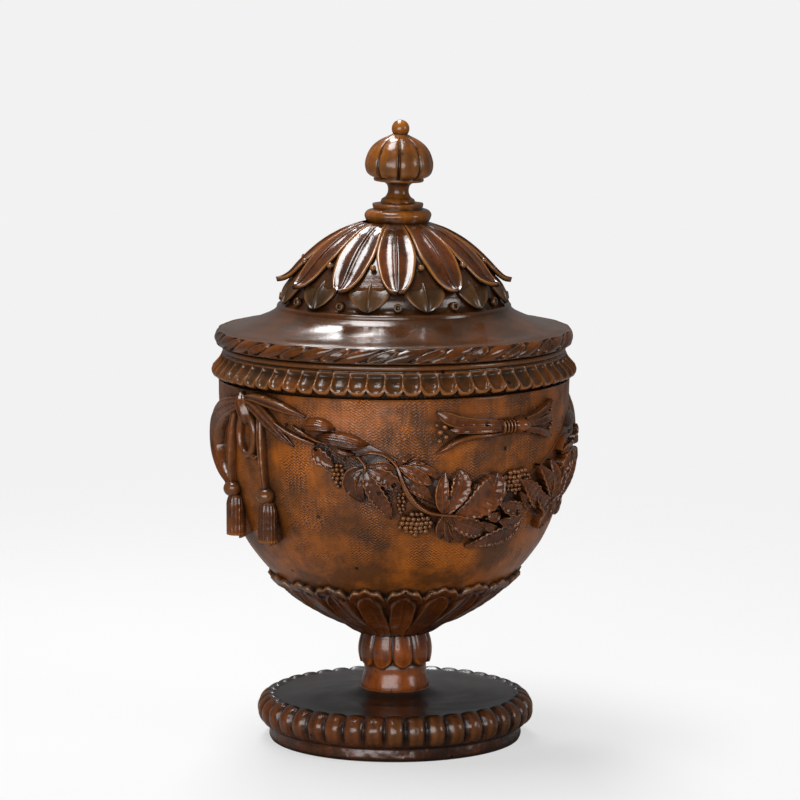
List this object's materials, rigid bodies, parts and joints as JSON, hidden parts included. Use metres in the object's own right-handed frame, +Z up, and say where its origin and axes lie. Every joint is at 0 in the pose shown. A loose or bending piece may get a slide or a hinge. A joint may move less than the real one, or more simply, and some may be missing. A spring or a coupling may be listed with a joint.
{
  "type": "lidded urn",
  "caption": "Turned and carved wooden urn on a round foot, with a lift-off domed lid, leaf carving, hanging garlands and a lobed finial.",
  "frame": {"origin": "centre of the foot's underside, on the surface that the urn stands on", "axes": "+Z up along the turning axis, from the foot to the finial; -Y is the face that the picture shows"},
  "size_m": [0.1562, 0.1572, 0.2612],
  "materials": {
    "foot_wood": "dark waxed patina, lighter on the worn gadroons",
    "stem_wood": "waxed, orange-brown, satin",
    "carved_wood": "waxed, dark in the hollows and worn lighter on the crests",
    "bowl_wood": "waxed, satin, with turning marks",
    "band_wood": "dark waxed patina, satin",
    "lid_wood": "dark waxed patina, glossy",
    "leaf_wood": "waxed, dark in the hollows and worn lighter on the crests"
  },
  "bodies": {
    "urn": {"foot": "foot_wood", "stem": "stem_wood", "calyx": "carved_wood", "bowl": "bowl_wood", "rim_band": "band_wood", "front_garland_left": "carved_wood", "front_garland_centre": "carved_wood", "front_garland_right": "carved_wood", "front_spray": "carved_wood", "front_bow": "carved_wood", "front_tassel_left": "carved_wood", "front_tassel_right": "carved_wood", "back_garland_left": "carved_wood", "back_garland_centre": "carved_wood", "back_garland_right": "carved_wood", "back_spray": "carved_wood", "back_bow": "carved_wood", "back_tassel_left": "carved_wood", "back_tassel_right": "carved_wood"},
    "lid": {"lid": "lid_wood", "lower_leaves": "leaf_wood", "upper_leaves": "leaf_wood", "finial_collar": "leaf_wood", "finial": "stem_wood", "finial_ball": "stem_wood"}
  },
  "joints": [
    {"name": "lid_lift", "type": "slide", "parent": "urn", "child": "lid", "axis": [0, 0, 1], "range_m": [0, 0.1]}
  ]
}
